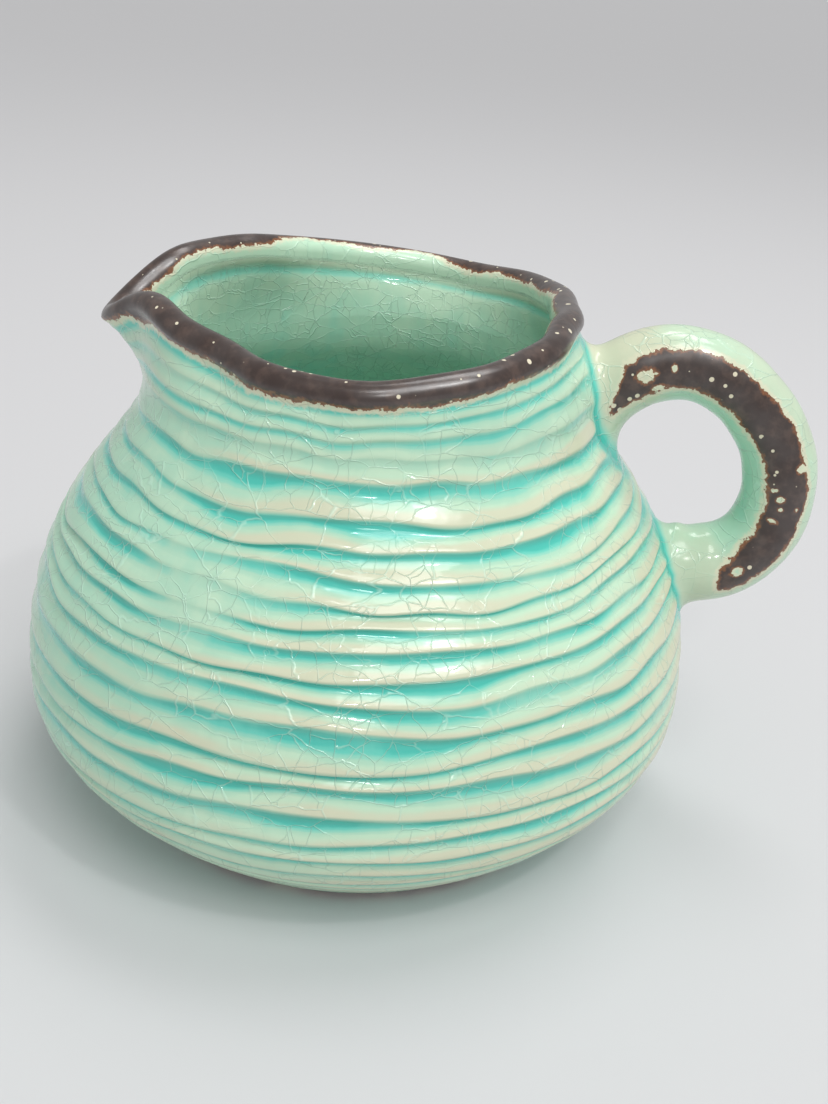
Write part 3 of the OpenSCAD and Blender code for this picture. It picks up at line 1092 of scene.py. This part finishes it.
handle_piece(
    "handle_root_lower", 0, first_grip,
    handle_glaze, "lower_handle_joint",
)


# ---- Floor, lights and camera ----

def plain(name, colour, roughness):
    """Even matt finish for the studio."""
    material = bpy.data.materials.new(name)
    material.use_nodes = True
    shader = material.node_tree.nodes["Principled BSDF"]
    shader.inputs["Base Color"].default_value = colour
    shader.inputs["Roughness"].default_value = roughness
    return material


FLOOR_REACH = 40
corners = [(-FLOOR_REACH, -FLOOR_REACH, 0), (FLOOR_REACH, -FLOOR_REACH, 0)]
corners += [(FLOOR_REACH, FLOOR_REACH, 0), (-FLOOR_REACH, FLOOR_REACH, 0)]
sweep = bpy.data.meshes.new("studio_floor")
sweep.from_pydata(corners, [], [[0, 1, 2, 3]])
sweep.materials.append(plain("pale floor", (0.62, 0.62, 0.63, 1), 0.75))
floor = bpy.data.objects.new("studio_floor", sweep)
bpy.context.scene.collection.objects.link(floor)


def lamp(name, kind, power, place, target):
    """Lamp of one kind at a place, turned towards its target, and the lamp's own data."""
    data = bpy.data.lights.new(name, kind)
    data.energy = power
    made = bpy.data.objects.new(name, data)
    bpy.context.scene.collection.objects.link(made)
    made.location = place
    made.rotation_euler = (Vector(target) - Vector(place)).to_track_quat("-Z", "Y").to_euler()
    return data


def soft_light(name, power, place, wide, high, colour=(1, 1, 1)):
    """Soft box turned towards the pitcher's middle."""
    data = lamp(name, "AREA", power, place, (0.0, 0.0, 0.06))
    data.shape = "RECTANGLE"
    data.size = wide
    data.size_y = high
    data.color = colour


soft_light("key", 1.1, (0.02, -0.85, 0.72), 0.13, 0.04, (1.0, 0.99, 0.97))
soft_light("side_key", 1.0, (0.36, -0.45, 0.85), 0.07, 0.04)
soft_light("top", 3.5, (0.25, 0.25, 1.1), 0.7, 0.3)
mouth_light = lamp("mouth_light", "SPOT", 4.5, (-0.06, -0.34, 0.76), (-0.005, 0.004, 0.11))
mouth_light.spot_size = math.radians(9.5)
mouth_light.spot_blend = 0.8
mouth_light.shadow_soft_size = 0.03
daylight = lamp("daylight", "SUN", 1.22, (0.28, -0.52, 1.0), (0, 0, 0))
daylight.specular_factor = 0.28
daylight.angle = math.radians(35)

world = bpy.data.worlds.new("soft room")
bpy.context.scene.world = world
world.use_nodes = True
room_light = world.node_tree.nodes["Background"]
room_light.inputs["Color"].default_value = (0.83, 0.83, 0.83, 1)
room_light.inputs["Strength"].default_value = 0.58

camera_data = bpy.data.cameras.new("camera")
camera = bpy.data.objects.new("camera", camera_data)
bpy.context.scene.collection.objects.link(camera)
camera_data.sensor_width = 36.0
camera_data.lens = 39.13
camera_data.clip_start = 0.01
CAMERA_PLACE = (0, -0.2476, 0.1773)
yaw = math.radians(2.66)
pitch = math.radians(26.44)
roll = math.radians(4.42)
ahead = Vector((math.sin(yaw) * math.cos(pitch), math.cos(yaw) * math.cos(pitch), -math.sin(pitch)))
level = Vector((math.cos(yaw), -math.sin(yaw), 0))
above = level.cross(ahead)
right = math.cos(roll) * level + math.sin(roll) * above
upward = -math.sin(roll) * level + math.cos(roll) * above
turned = Matrix((right, upward, -ahead)).transposed().to_4x4()
camera.matrix_world = Matrix.Translation(CAMERA_PLACE) @ turned
bpy.context.scene.camera = camera
bpy.context.scene.view_settings.view_transform = "Standard"

bpy.context.view_layer.update()
